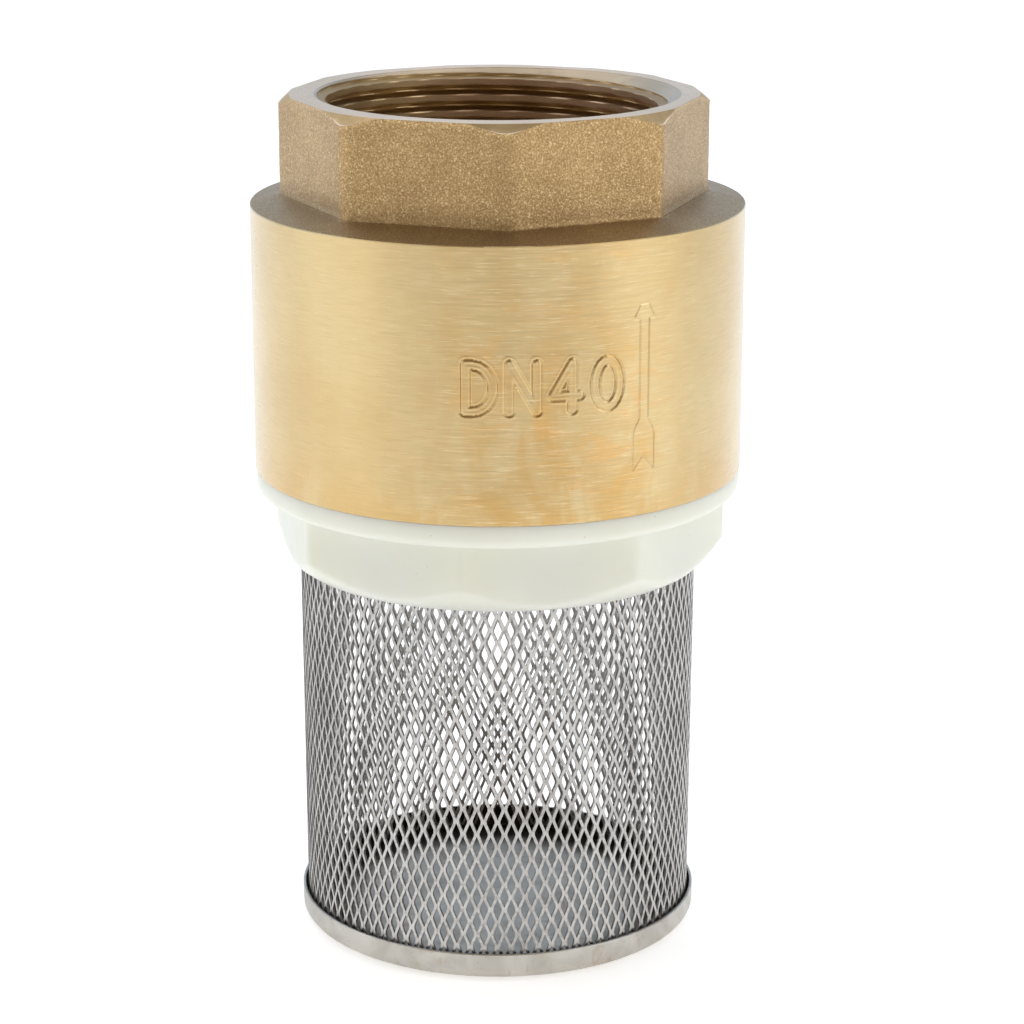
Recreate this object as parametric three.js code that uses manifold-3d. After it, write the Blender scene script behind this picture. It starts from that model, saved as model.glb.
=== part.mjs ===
// A 1 1/2 inch sprung foot valve: a cast brass body with an octagonal female end, a sprung
// poppet that slides in a spider, a nylon inlet collar that carries the seat, and a basket
// strainer of expanded stainless steel. Millimetres, +Z up, origin at the centre of the
// strainer's underside, so the valve stands on it. Water enters through the strainer and
// leaves at the top.
import * as THREE from "three";
import { mergeVertices } from "three/addons/utils/BufferGeometryUtils.js";
import Module from "manifold-3d";

const wasm = await Module();
wasm.setup();

// Driving dimensions.
const LENGTH = 118.5; // whole valve, base to outlet face
const FIT = 0.1; // gap between pieces that are pressed or screwed together
const GAP = 0.3; // gap between pieces that meet face to face
const ROUND_SIDES = 48; // facets round the outer turned shapes
const INNER_SIDES = 32; // facets round the discs and rings inside
const SMALL_SIDES = 24; // facets round the stem and its guide

// G 1 1/2 female pipe thread, drawn as parallel rings at the true pitch and depth.
const THREAD = { pitch: 2.309, major: 47.8 / 2, minor: 44.85 / 2, depth: 16.5 };

const body = {
  radius: 34, // the turned barrel
  bottom: 66.75,
  shoulder: 103.75, // height of the barrel's top edge
  neckFoot: 104.9, // where the cast shoulder meets the octagon
  acrossFlats: 55,
  cornerRadius: 2,
  chamferTop: 28.3, // the outlet chamfer's radius at the top face
  chamferSlope: 1.1, // fall of that chamfer for each millimetre outwards
  mouth: 24.9, // bore chamfer at the outlet face
  socketRadius: 30.9, // lower bore that takes the collar
  socketTop: 75.3,
  chamber: 28.8,
  chamberTop: 97.5,
  outlet: 21.5, // stop ring under the thread
  edgeBreak: 0.4,
};
// The spider that guides the stem: a hub on crossed bars, cast in one piece with the body.
const spider = {
  hub: 6.5,
  hubBore: 5.4,
  bottom: 92,
  top: 102.4,
  bars: 2,
  barWidth: 3.2,
  barBottom: 96.5,
  barTop: 101,
};

const collar = {
  flange: 33.8,
  flangeBottom: 63.4,
  bottom: 53.4,
  acrossFlats: 59.1,
  cornerRadius: 1.2,
  twist: -11.9, // degrees that it is screwed on past the body's flats
  chamferBottom: 28.5, // the lower chamfer's radius at the bottom face
  chamferSlope: 1.05,
  spigot: 30.5,
  top: 73.5,
  pocket: 28.1, // bore that takes the strainer
  pocketTop: 61.6,
  throatBottom: 25,
  throatTop: 19.6,
};
const seat = { bore: 19.4, outer: 22.4, bottom: 68, top: 74.3, rimWidth: 1.2, rimHeight: 0.8 };
const screen = { outer: 27.8, wall: 0.7, bottom: 0.8, top: 61.3 };
const base = { outer: 28.4, sheet: 0.45, rimHeight: 3.8, edgeRadius: 1.2 };
const lockRing = { inner: 24.8, bottom: 54.9, edge: 0.6 };
const oRing = { section: 0.8, centre: 29.8 };

const bush = { bore: 4.1, bottom: 92.2, top: 102.2 };
const stem = { radius: 4, foot: 82, top: 103.6, tailRadius: 2.45, tailBottom: 66.3, tip: 0.8 };
const plate = { radius: 22.4, bottom: 76.3, top: 79.3, boss: 6.2 };
const seal = { inner: 8.9, outer: 22.2 };
const retainer = { radius: 18.2, boss: 8.7, thickness: 2.2 };
const lockWasher = { inner: 2.7, outer: 4.6, thickness: 1, split: 0.8 };
const nut = { acrossFlats: 8, height: 4 };
const spring = {
  wire: 1.2,
  meanRadius: 9.2,
  turns: 5.5,
  endPitch: 1.3,
  sides: 6,
  stepsPerTurn: 16,
  clearance: 0.05,
};

const material = {
  castBrass: new THREE.MeshStandardMaterial({ color: 0xb8935a, roughness: 0.45, metalness: 1 }),
  turnedBrass: new THREE.MeshStandardMaterial({ color: 0xd9b978, roughness: 0.28, metalness: 1 }),
  nylon: new THREE.MeshStandardMaterial({ color: 0xeceee6, roughness: 0.4, metalness: 0 }),
  acetal: new THREE.MeshStandardMaterial({ color: 0xf2f0e8, roughness: 0.35, metalness: 0 }),
  stainless: new THREE.MeshStandardMaterial({ color: 0xb9b6b0, roughness: 0.35, metalness: 1 }),
  rubber: new THREE.MeshStandardMaterial({ color: 0x161616, roughness: 0.7, metalness: 0 }),
};

const radians = THREE.MathUtils.degToRad;

// A solid of revolution about Z from an outline of [radius, height] points, in either direction.
function turned(outline, sides = ROUND_SIDES) {
  const onAxis = outline[0][0] === 0 && outline.at(-1)[0] === 0;
  const points = outline.map(([r, z]) => new THREE.Vector2(r, z));
  if (THREE.ShapeUtils.area(points) < 0) points.reverse();
  if (!onAxis) points.push(points[0].clone());
  return new THREE.LatheGeometry(points, sides).rotateX(Math.PI / 2);
}

function cylinder(radius, bottom, top, sides = SMALL_SIDES) {
  const outline = [
    [0, bottom],
    [radius, bottom],
    [radius, top],
    [0, top],
  ];
  return turned(outline, sides);
}

function sleeve(inner, outer, bottom, top, sides = ROUND_SIDES) {
  const outline = [
    [inner, bottom],
    [outer, bottom],
    [outer, top],
    [inner, top],
  ];
  return turned(outline, sides);
}

// A regular octagon with rounded corners, standing between two heights, one corner towards -Y.
function octagonBar(acrossFlats, cornerRadius, bottom, top, twist = 0) {
  const halfAngle = Math.PI / 8;
  const centreRadius = (acrossFlats / 2 - cornerRadius) / Math.cos(halfAngle);
  const shape = new THREE.Shape();
  for (let corner = 0; corner < 8; corner++) {
    const angle = -Math.PI / 2 + radians(twist) + corner * 2 * halfAngle;
    for (const turn of [-halfAngle, 0, halfAngle]) {
      const x = centreRadius * Math.cos(angle) + cornerRadius * Math.cos(angle + turn);
      const y = centreRadius * Math.sin(angle) + cornerRadius * Math.sin(angle + turn);
      if (shape.curves.length === 0 && shape.currentPoint.lengthSq() === 0) shape.moveTo(x, y);
      else shape.lineTo(x, y);
    }
  }
  shape.closePath();
  return extruded(shape, bottom, top);
}

// The corners of a regular polygon about the origin, the first one towards +X.
function polygon(sides, radius) {
  return Array.from({ length: sides }, (_, corner) => {
    const angle = (2 * Math.PI * corner) / sides;
    return new THREE.Vector2(radius * Math.cos(angle), radius * Math.sin(angle));
  });
}

function extruded(shape, bottom, top, curveSegments = 8) {
  const settings = { depth: top - bottom, bevelEnabled: false, curveSegments };
  return new THREE.ExtrudeGeometry(shape, settings).translate(0, 0, bottom);
}

function solid(geometry) {
  const bare = geometry.clone();
  bare.deleteAttribute("normal");
  bare.deleteAttribute("uv");
  const merged = mergeVertices(bare, 1e-4);
  return new wasm.Manifold(
    new wasm.Mesh({
      numProp: 3,
      vertProperties: merged.attributes.position.array,
      triVerts: new Uint32Array(merged.index.array),
    }),
  );
}

function geometryOf(manifold) {
  const mesh = manifold.getMesh();
  return new THREE.BufferGeometry()
    .setAttribute("position", new THREE.BufferAttribute(mesh.vertProperties, 3))
    .setIndex(new THREE.BufferAttribute(mesh.triVerts, 1))
    .toNonIndexed();
}

// The cone that trims an octagon's corners: its solid side is below the chamfer when `up` is 1.
function chamferCone(radius, slope, level, up) {
  const reach = 12;
  return solid(
    turned([
      [0, level],
      [radius, level],
      [radius + reach, level - up * slope * reach],
      [radius + reach, level - up * slope * reach * 3],
      [0, level - up * slope * reach * 3],
    ]),
  );
}

// The female thread's outline, from the top downwards.
function threadOutline() {
  const { pitch, major, minor, depth } = THREAD;
  const flat = pitch / 6;
  const points = [];
  const rings = Math.floor((depth - (body.mouth - minor)) / pitch);
  for (let ring = 0; ring < rings; ring++) {
    const z = LENGTH - (body.mouth - minor) - ring * pitch;
    points.push([minor, z], [minor, z - flat], [major, z - pitch / 2], [major, z - pitch / 2 - flat]);
  }
  return points;
}

function valveBody() {
  const barrel = turned([
    [0, body.bottom],
    [body.radius - body.edgeBreak, body.bottom],
    [body.radius, body.bottom + body.edgeBreak],
    [body.radius, body.shoulder],
    [body.acrossFlats / 2, body.neckFoot],
    [0, body.neckFoot],
  ]);
  const neck = solid(octagonBar(body.acrossFlats, body.cornerRadius, body.shoulder - 1, LENGTH));
  const trimmedNeck = neck.intersect(chamferCone(body.chamferTop, body.chamferSlope, LENGTH, 1));
  const stop = LENGTH - THREAD.depth;
  const passage = turned([
    [0, body.bottom - 1],
    [body.socketRadius + 1, body.bottom - 1],
    [body.socketRadius, body.bottom + 0.6],
    [body.socketRadius, body.socketTop],
    [body.chamber, body.socketTop],
    [body.chamber, body.chamberTop],
    [body.outlet, body.chamberTop + 2],
    [body.outlet, stop],
    [THREAD.major, stop],
    ...threadOutline().reverse(),
    [body.mouth, LENGTH],
    [body.mouth, LENGTH + 1],
    [0, LENGTH + 1],
  ]);
  const hub = cylinder(spider.hub, spider.bottom, spider.top);
  const hubBore = cylinder(spider.hubBore, spider.bottom - 1, spider.top + 1);
  let casting = solid(barrel).add(trimmedNeck).subtract(solid(passage)).add(solid(hub));
  for (let index = 0; index < spider.bars; index++) {
    const length = 2 * (body.chamber + 0.5);
    const bar = new THREE.BoxGeometry(length, spider.barWidth, spider.barTop - spider.barBottom)
      .translate(0, 0, (spider.barTop + spider.barBottom) / 2)
      .rotateZ(Math.PI / 4 + (index * Math.PI) / spider.bars);
    casting = casting.add(solid(bar));
  }
  return geometryOf(casting.subtract(solid(hubBore)));
}

function guideBush() {
  const outer = spider.hubBore - FIT;
  return sleeve(bush.bore, outer, bush.bottom, bush.top, SMALL_SIDES);
}

function inletCollar() {
  const rounding = 1.2;
  const flangeTop = body.bottom - GAP;
  const turnedPart = turned([
    [0, collar.flangeBottom - 1],
    [collar.spigot - 4, collar.flangeBottom - 1],
    [collar.spigot - 4, collar.flangeBottom],
    [collar.flange - rounding, collar.flangeBottom],
    [collar.flange - rounding * 0.3, collar.flangeBottom + rounding * 0.3],
    [collar.flange, collar.flangeBottom + rounding],
    [collar.flange, flangeTop],
    [collar.spigot, flangeTop],
    [collar.spigot, collar.top],
    [0, collar.top],
  ]);
  const { acrossFlats, cornerRadius, twist } = collar;
  const octagon = octagonBar(acrossFlats, cornerRadius, collar.bottom, collar.flangeBottom + 1, twist);
  const trimCone = chamferCone(collar.chamferBottom, collar.chamferSlope, collar.bottom, -1);
  const wrench = solid(octagon).intersect(trimCone);
  const passage = turned([
    [0, collar.bottom - 1],
    [collar.pocket, collar.bottom - 1],
    [collar.pocket, collar.pocketTop],
    [collar.throatBottom, collar.pocketTop],
    [collar.throatTop, seat.bottom - GAP],
    [seat.outer + FIT, seat.bottom - GAP],
    [seat.outer + FIT, collar.top + 1],
    [0, collar.top + 1],
  ]);
  return geometryOf(solid(turnedPart).add(wrench).subtract(solid(passage)));
}

function seatRing() {
  const rim = seat.top - seat.rimHeight;
  const outline = [
    [seat.bore, seat.bottom],
    [seat.outer, seat.bottom],
    [seat.outer, rim],
    [seat.bore + seat.rimWidth + 0.6, rim],
    [seat.bore + seat.rimWidth, seat.top],
    [seat.bore + 0.3, seat.top],
    [seat.bore, seat.top - 0.3],
  ];
  return turned(outline, INNER_SIDES);
}

function collarORing() {
  const height = (collar.top + body.socketTop) / 2;
  const circle = Array.from({ length: 8 }, (_, i) => {
    const angle = (i * Math.PI) / 4;
    return [oRing.centre + oRing.section * Math.cos(angle), height + oRing.section * Math.sin(angle)];
  });
  return turned(circle, INNER_SIDES);
}

// The rolled screen's envelope: the diamond openings are too fine to be drawn one by one.
function strainerScreen() {
  return sleeve(screen.outer - screen.wall, screen.outer, screen.bottom, screen.top);
}

function strainerBase() {
  const { outer, sheet, rimHeight, edgeRadius } = base;
  const corner = (radius) =>
    [0, 30, 60, 90].map((angle) => [
      outer - edgeRadius + radius * Math.sin(radians(angle)),
      edgeRadius - radius * Math.cos(radians(angle)),
    ]);
  return turned([
    [0, 0],
    ...corner(edgeRadius),
    [outer, rimHeight],
    [outer - sheet, rimHeight],
    ...corner(edgeRadius - sheet).reverse(),
    [0, sheet],
  ]);
}

function strainerLockRing() {
  const outer = screen.outer - screen.wall - GAP;
  const { inner, bottom, edge } = lockRing;
  const top = collar.pocketTop - GAP;
  return turned([
    [inner + edge, bottom],
    [outer - edge, bottom],
    [outer, bottom + edge],
    [outer, top],
    [inner, top],
    [inner, bottom + edge],
  ]);
}

function valveStem() {
  const { radius, foot, top, tailRadius, tailBottom, tip } = stem;
  return turned(
    [
      [0, tailBottom],
      [tailRadius - 0.4, tailBottom],
      [tailRadius, tailBottom + 0.4],
      [tailRadius, foot],
      [radius, foot],
      [radius, top - tip],
      [radius - tip, top],
      [0, top],
    ],
    SMALL_SIDES,
  );
}

function poppetPlate() {
  const hole = stem.tailRadius + FIT;
  const edge = 0.6;
  const outline = [
    [hole, plate.bottom],
    [plate.radius, plate.bottom],
    [plate.radius, plate.top - edge],
    [plate.radius - edge, plate.top],
    [plate.boss, plate.top],
    [plate.boss, stem.foot],
    [hole, stem.foot],
  ];
  return turned(outline, INNER_SIDES);
}

function discSeal() {
  return sleeve(seal.inner, seal.outer, seat.top, plate.bottom, INNER_SIDES);
}

function sealRetainer() {
  const hole = stem.tailRadius + FIT;
  const bottom = seat.top - retainer.thickness;
  const edge = 0.5;
  const outline = [
    [hole, bottom],
    [retainer.radius - edge, bottom],
    [retainer.radius, bottom + edge],
    [retainer.radius, seat.top],
    [retainer.boss, seat.top],
    [retainer.boss, plate.bottom],
    [hole, plate.bottom],
  ];
  return turned(outline, INNER_SIDES);
}

// A split spring washer: a ring with a narrow cut.
function splitWasher() {
  const cut = Math.asin(lockWasher.split / 2 / lockWasher.outer);
  const top = seat.top - retainer.thickness;
  const ring = new THREE.Shape();
  ring.absarc(0, 0, lockWasher.outer, cut, 2 * Math.PI - cut, false);
  ring.absarc(0, 0, lockWasher.inner, 2 * Math.PI - cut, cut, true);
  return extruded(ring, top - lockWasher.thickness, top, 12);
}

function stemNut() {
  const top = seat.top - retainer.thickness - lockWasher.thickness;
  const hexagon = new THREE.Shape(polygon(6, nut.acrossFlats / Math.sqrt(3)));
  hexagon.holes.push(new THREE.Path().absarc(0, 0, stem.tailRadius + FIT, 0, 2 * Math.PI, true));
  return extruded(hexagon, top - nut.height, top, 12);
}

// A helix whose end turns lie close together and whose middle turns are open.
class SpringPath extends THREE.Curve {
  getPoint(t, target = new THREE.Vector3()) {
    const { wire, meanRadius, turns, endPitch, clearance } = spring;
    const low = plate.top + wire / 2 + clearance;
    const high = spider.barBottom - wire / 2 - clearance;
    const turn = t * turns;
    const openTurns = turns - 2;
    const openPitch = (high - low - 2 * endPitch) / openTurns;
    const rise =
      endPitch * (Math.min(turn, 1) + Math.max(turn - turns + 1, 0)) +
      openPitch * THREE.MathUtils.clamp(turn - 1, 0, openTurns);
    const angle = 2 * Math.PI * turn;
    return target.set(meanRadius * Math.cos(angle), meanRadius * Math.sin(angle), low + rise);
  }
}

function poppetSpring() {
  const section = new THREE.Shape(polygon(spring.sides, spring.wire / 2));
  const path = new SpringPath();
  path.arcLengthDivisions = 400;
  return new THREE.ExtrudeGeometry(section, {
    extrudePath: path,
    steps: Math.round(spring.turns * spring.stepsPerTurn),
    bevelEnabled: false,
  });
}

const valve = new THREE.Group();
function addPart(group, name, geometry, finish) {
  const mesh = new THREE.Mesh(geometry, finish);
  mesh.name = name;
  group.add(mesh);
}

addPart(valve, "valve_body", valveBody(), material.castBrass);
addPart(valve, "guide_bush", guideBush(), material.acetal);
addPart(valve, "inlet_collar", inletCollar(), material.nylon);
addPart(valve, "seat_ring", seatRing(), material.turnedBrass);
addPart(valve, "collar_o_ring", collarORing(), material.rubber);
addPart(valve, "poppet_spring", poppetSpring(), material.stainless);

const strainer = new THREE.Group();
addPart(strainer, "strainer_screen", strainerScreen(), material.stainless);
addPart(strainer, "strainer_base", strainerBase(), material.stainless);
addPart(strainer, "strainer_lock_ring", strainerLockRing(), material.nylon);
valve.add(strainer);

const poppet = new THREE.Group();
addPart(poppet, "valve_stem", valveStem(), material.stainless);
addPart(poppet, "poppet_plate", poppetPlate(), material.turnedBrass);
addPart(poppet, "disc_seal", discSeal(), material.rubber);
addPart(poppet, "seal_retainer", sealRetainer(), material.turnedBrass);
addPart(poppet, "lock_washer", splitWasher(), material.stainless);
addPart(poppet, "stem_nut", stemNut(), material.stainless);
valve.add(poppet);

export default valve;
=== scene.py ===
"""Looks for a 1 1/2 inch sprung foot valve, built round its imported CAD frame.

Lengths in this script are millimetres, turned into metres where a mesh is made. Angles round
the valve are degrees from -Y towards +X. Levels and radii come from the frame where it has them.
"""
import math

import bpy
import numpy as np
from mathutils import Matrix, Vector, noise


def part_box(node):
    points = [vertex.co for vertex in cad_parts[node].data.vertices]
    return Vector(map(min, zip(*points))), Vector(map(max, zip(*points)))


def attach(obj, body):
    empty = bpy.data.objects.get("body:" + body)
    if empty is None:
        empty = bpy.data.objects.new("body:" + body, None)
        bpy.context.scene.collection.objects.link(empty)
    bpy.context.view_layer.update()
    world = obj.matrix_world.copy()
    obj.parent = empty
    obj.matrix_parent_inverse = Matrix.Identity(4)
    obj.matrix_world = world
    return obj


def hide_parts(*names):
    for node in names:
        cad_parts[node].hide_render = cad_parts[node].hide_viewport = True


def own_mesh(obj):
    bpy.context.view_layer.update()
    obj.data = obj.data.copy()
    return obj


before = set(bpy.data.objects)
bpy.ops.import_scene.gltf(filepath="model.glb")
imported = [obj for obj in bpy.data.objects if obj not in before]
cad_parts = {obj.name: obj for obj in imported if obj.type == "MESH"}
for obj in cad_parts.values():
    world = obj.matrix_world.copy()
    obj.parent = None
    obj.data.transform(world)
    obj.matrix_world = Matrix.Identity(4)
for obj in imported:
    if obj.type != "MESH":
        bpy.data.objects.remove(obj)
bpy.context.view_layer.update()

MM = 0.001


def low(node):
    return np.array(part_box(node)[0]) / MM


def high(node):
    return np.array(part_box(node)[1]) / MM


def bottom_of(node):
    return float(low(node)[2])


def top_of(node):
    return float(high(node)[2])


def radius_of(node):
    return float(max(high(node)[:2]))


# Shader helpers ----------------------------------------------


class Nodes:
    """A node tree, with short ways to add nodes and feed them."""

    def __init__(self, tree):
        self.tree = tree

    def feed(self, node, inputs):
        for socket, value in inputs.items():
            if isinstance(value, bpy.types.NodeSocket):
                self.tree.links.new(value, node.inputs[socket])
            else:
                node.inputs[socket].default_value = value

    def add(self, kind, inputs=None, **settings):
        node = self.tree.nodes.new("ShaderNode" + kind)
        for setting, value in settings.items():
            setattr(node, setting, value)
        self.feed(node, inputs or {})
        return node

    def math(self, operation, first, second=0.0):
        return self.add("Math", {0: first, 1: second}, operation=operation).outputs[0]


class Shader(Nodes):
    """One material's node tree, with a principled shader."""

    def __init__(self, name, colour, metallic, roughness, **sockets):
        self.material = bpy.data.materials.new(name)
        self.material.use_nodes = True
        super().__init__(self.material.node_tree)
        self.tree.nodes.clear()
        basics = {"Base Color": (*colour, 1), "Metallic": metallic, "Roughness": roughness}
        self.shader = self.add("BsdfPrincipled", {**basics, **sockets})
        self.add("OutputMaterial", {"Surface": self.shader.outputs["BSDF"]})
        self.material.diffuse_color = (*colour, 1)
        self.place = self.add("TexCoord").outputs["Object"]

    def scaled(self, x, y, z, vector=None):
        """The object's coordinates, times a scale along each axis."""
        node = self.add("VectorMath", {0: vector or self.place, 1: (x, y, z)}, operation="MULTIPLY")
        return node.outputs[0]

    def parts(self):
        split = self.add("SeparateXYZ", {0: self.place})
        return split.outputs["X"], split.outputs["Y"], split.outputs["Z"]

    def tangent(self):
        """The direction of tool lines that run round the axis."""
        return self.add("Tangent", direction_type="RADIAL", axis="Z").outputs[0]

    def radius(self):
        """The distance from the valve's axis, in metres."""
        x, y, _ = self.parts()
        squares = self.math("ADD", self.math("MULTIPLY", x, x), self.math("MULTIPLY", y, y))
        return self.math("SQRT", squares)

    def noise(self, scale, detail=3.0, roughness=0.55, vector=None, distortion=0.0):
        """Noise with that many features to a metre."""
        inputs = {
            "Vector": vector or self.place,
            "Scale": scale,
            "Detail": detail,
            "Roughness": roughness,
            "Distortion": distortion,
        }
        return self.add("TexNoise", inputs).outputs["Fac"]

    def cells(self, scale, vector=None):
        """The distance to the nearest of that many scattered points to a metre."""
        return self.add("TexVoronoi", {"Vector": vector or self.place, "Scale": scale}).outputs["Distance"]

    def ramp(self, value, start, end, low_out=0.0, high_out=1.0):
        """Turns the range start to end into low_out to high_out, smoothly and clamped."""
        node = self.add("MapRange", {0: value, 1: start, 2: end, 3: low_out, 4: high_out})
        node.interpolation_type = "SMOOTHSTEP"
        return node.outputs[0]

    def mix(self, factor, first, second):
        node = self.add("Mix", data_type="RGBA")
        colours = [(*c, 1) if isinstance(c, tuple) and len(c) == 3 else c for c in (first, second)]
        self.feed(node, {0: factor, 6: colours[0], 7: colours[1]})
        return node.outputs[2]

    def bump(self, height, distance, strength=1.0, normal=None):
        inputs = {"Height": height, "Distance": distance, "Strength": strength}
        if normal is not None:
            inputs["Normal"] = normal
        return self.add("Bump", inputs).outputs["Normal"]

    def set(self, **sockets):
        self.feed(self.shader, {name.replace("_", " "): value for name, value in sockets.items()})
        return self.material


def turning(shader, lines_per_mm, arc_mm):
    """Coordinates for tool lines that run round the axis: fine across, long round the valve."""
    x, y, z = shader.parts()
    across = shader.math("ADD", z, shader.radius())
    along = 1 / (arc_mm * MM)
    fine = lines_per_mm / MM
    join = shader.add(
        "CombineXYZ",
        {
            0: shader.math("MULTIPLY", x, along),
            1: shader.math("MULTIPLY", y, along),
            2: shader.math("MULTIPLY", across, fine),
        },
    )
    return join.outputs[0]


# Materials ---------------------------------------------------

# Tool lines run round the axis, so they spread a reflection up and down.
LATHE_LINES = {
    "Anisotropic": 0.75,
    "Anisotropic Rotation": 0.25,
    "Coat Weight": 0.7,
    "Coat Roughness": 0.3,
    "Coat IOR": 1.5,
}
STAIN_AND_REFLECTION_MIDDLE = 5.0  # the middle of the barrel's stains and of its painted front reflection, measured along X
STAIN_TOP = 100.0


def turned_brass(name, pale, deep, stain, roughness=0.3, stained=1.0, grazing=(1.0, 1.0, 1.0)):
    """Brass off the lathe: fine lines round the axis, soft tarnish and a few warm stains."""
    s = Shader(name, pale, 1.0, roughness, **LATHE_LINES, **{"Specular Tint": (*grazing, 1.0)})
    lines = s.noise(1.0, 2.0, 0.6, turning(s, 7.0, 9.0))
    scratches = s.noise(1.0, 3.0, 0.7, turning(s, 3.0, 22.0))
    cloud = s.noise(70.0, 3.0, 0.5, s.scaled(1, 1, 0.8), 0.4)
    blotch = s.noise(120.0, 4.0, 0.6, s.scaled(1, 1, 0.7), 0.8)
    tone = s.mix(s.ramp(cloud, 0.35, 0.65), pale, deep)
    tone = s.mix(s.math("MULTIPLY", s.ramp(blotch, 0.45, 0.75), stained), tone, stain)
    tone = s.mix(s.ramp(lines, 0.35, 0.75, 0.0, 0.2), tone, s.mix(0.5, tone, (0.30, 0.19, 0.08)))
    tone = s.mix(s.ramp(scratches, 0.62, 0.8, 0.0, 0.12), tone, (0.98, 0.90, 0.72))
    specks = s.ramp(s.cells(420.0), 0.02, 0.05, 0.4, 0.0)
    tone = s.mix(specks, tone, (0.28, 0.17, 0.07))
    rough = s.ramp(lines, 0.25, 0.75, roughness - 0.04, roughness + 0.08)
    tangent = s.tangent()
    normal = s.bump(lines, 0.00001, 0.4)
    normal = s.bump(scratches, 0.00001, 0.3, normal)
    return s.set(Base_Color=tone, Roughness=rough, Normal=normal, Tangent=tangent)


def barrel_brass(pale, deep, stain):
    """The barrel's turned skin, with heat-coloured tarnish low on its front. On the front the stains also
    paint the room's warm reflection, the dull streaks paint its dark reflection, and the glints are painted
    highlights.
    """
    s = Shader("barrel_brass", pale, 1.0, 0.3, **LATHE_LINES)
    x, y, z = s.parts()
    lines = s.noise(1.0, 2.0, 0.6, turning(s, 9.0, 3.2))
    streaks = s.noise(1.0, 3.0, 0.65, turning(s, 3.4, 12.0))
    cloud = s.noise(60.0, 3.0, 0.5, s.scaled(1, 1, 0.8), 0.4)
    blotch = s.noise(130.0, 4.0, 0.6, s.scaled(1, 1, 0.6), 0.9)
    smear = s.noise(210.0, 4.0, 0.6, s.scaled(0.7, 0.7, 1.3), 1.4)
    # The front mask: stains, dull streaks and glints lie only on the front, where they are partly a painted
    # reflection of the warm, dark room.
    sideways = s.ramp(s.math("ABSOLUTE", s.math("SUBTRACT", x, STAIN_AND_REFLECTION_MIDDLE * MM)), 0.006, 0.024, 1.0, 0.12)
    front = s.math("MULTIPLY", sideways, s.ramp(y, -0.012, 0.004, 1.0, 0.3))
    low = s.ramp(z, STAIN_TOP * MM, BARREL_FOOT * MM, 0.45, 1.0)
    # Stained mask: real tarnish, and on the front a painted warm reflection.
    stained = s.math("MULTIPLY", front, low)
    foot = s.ramp(z, (BARREL_FOOT + 9) * MM, BARREL_FOOT * MM, 0.0, 0.5)
    tone = s.mix(s.ramp(cloud, 0.35, 0.65), pale, deep)
    tone = s.mix(s.math("MULTIPLY", s.ramp(blotch, 0.3, 0.7), stained), tone, stain)
    tone = s.mix(s.math("MULTIPLY", s.ramp(smear, 0.5, 0.7, 0.0, 0.45), stained), tone, (0.80, 0.40, 0.10))
    tone = s.mix(s.math("MULTIPLY", s.ramp(blotch, 0.35, 0.6), foot), tone, stain)
    # Painted reflection: darker streaks on the front stand in for the room's dark reflection, with some
    # dull tarnish.
    dull = s.math("MULTIPLY", s.ramp(streaks, 0.42, 0.72), s.math("MULTIPLY", front, 0.34))
    tone = s.mix(dull, tone, (0.45, 0.33, 0.16))
    # Painted highlight: bright glints on the tool lines, on the front only.
    glint = s.math("MULTIPLY", s.ramp(lines, 0.45, 0.25), s.math("MULTIPLY", front, 0.33))
    tone = s.mix(glint, tone, (1.0, 0.90, 0.66))
    tone = s.mix(s.ramp(lines, 0.45, 0.75, 0.0, 0.22), tone, (0.45, 0.31, 0.13))
    specks = s.ramp(s.cells(330.0), 0.015, 0.04, 0.4, 0.0)
    tone = s.mix(specks, tone, (0.30, 0.18, 0.07))
    rough = s.ramp(lines, 0.25, 0.75, 0.27, 0.36)
    tangent = s.tangent()
    normal = s.bump(lines, 0.00001, 0.4)
    return s.set(Base_Color=tone, Roughness=rough, Normal=normal, Tangent=tangent)


def cast_brass(name, pale, deep, dark_level=None):
    """Blasted cast brass: a sandy grain, dull, with brown in its hollows. A painted shade lies below the
    dark level and fades out over the 4 mm above it."""
    s = Shader(name, pale, 1.0, 0.46, **{"Coat Weight": 0.8, "Coat Roughness": 0.5, "Coat IOR": 1.5})
    grain = s.noise(4300.0, 2.0, 0.6)
    sand = s.noise(2000.0, 3.0, 0.6)
    cloud = s.noise(130.0, 3.0, 0.55)
    tone = s.mix(s.ramp(cloud, 0.3, 0.7), pale, deep)
    tone = s.mix(s.ramp(grain, 0.36, 0.55, 0.5, 0.0), tone, (0.26, 0.14, 0.04))
    tone = s.mix(s.ramp(sand, 0.3, 0.5, 0.25, 0.0), tone, (0.24, 0.13, 0.04))
    tone = s.mix(s.ramp(grain, 0.56, 0.72, 0.0, 0.55), tone, (0.98, 0.80, 0.48))
    pits = s.ramp(s.cells(700.0), 0.03, 0.08, 0.6, 0.0)
    tone = s.mix(pits, tone, (0.10, 0.055, 0.02))
    sparkle = s.ramp(s.cells(1000.0, s.scaled(1, 1.07, 0.93)), 0.03, 0.08, 0.8, 0.0)
    tone = s.mix(sparkle, tone, (1.0, 0.93, 0.75))
    if dark_level is not None:
        # Painted shade at the neck's foot: darker below it, over the shoulder and the cast parts under it,
        # fading out above.
        _, _, z = s.parts()
        wavy = s.math("ADD", z, s.math("MULTIPLY", s.noise(260.0, 2.0), 0.0012))
        painted_shade = (0.13, 0.085, 0.04)
        above = s.ramp(wavy, dark_level * MM, (dark_level + 4.0) * MM, 0.2, 0.0)
        below = s.ramp(z, (dark_level - 0.25) * MM, (dark_level + 0.3) * MM, 0.2, 0.0)
        tone = s.mix(below, s.mix(above, tone, painted_shade), painted_shade)
    rough = s.ramp(grain, 0.3, 0.7, 0.6, 0.4)
    normal = s.bump(sand, 0.0001, 0.35)
    normal = s.bump(grain, 0.00006, 0.6, normal)
    return s.set(Base_Color=tone, Roughness=rough, Normal=normal)


FRONT_CHAMFER = -25.5  # only the chamfer's front corner lies before this Y, in millimetres


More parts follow.
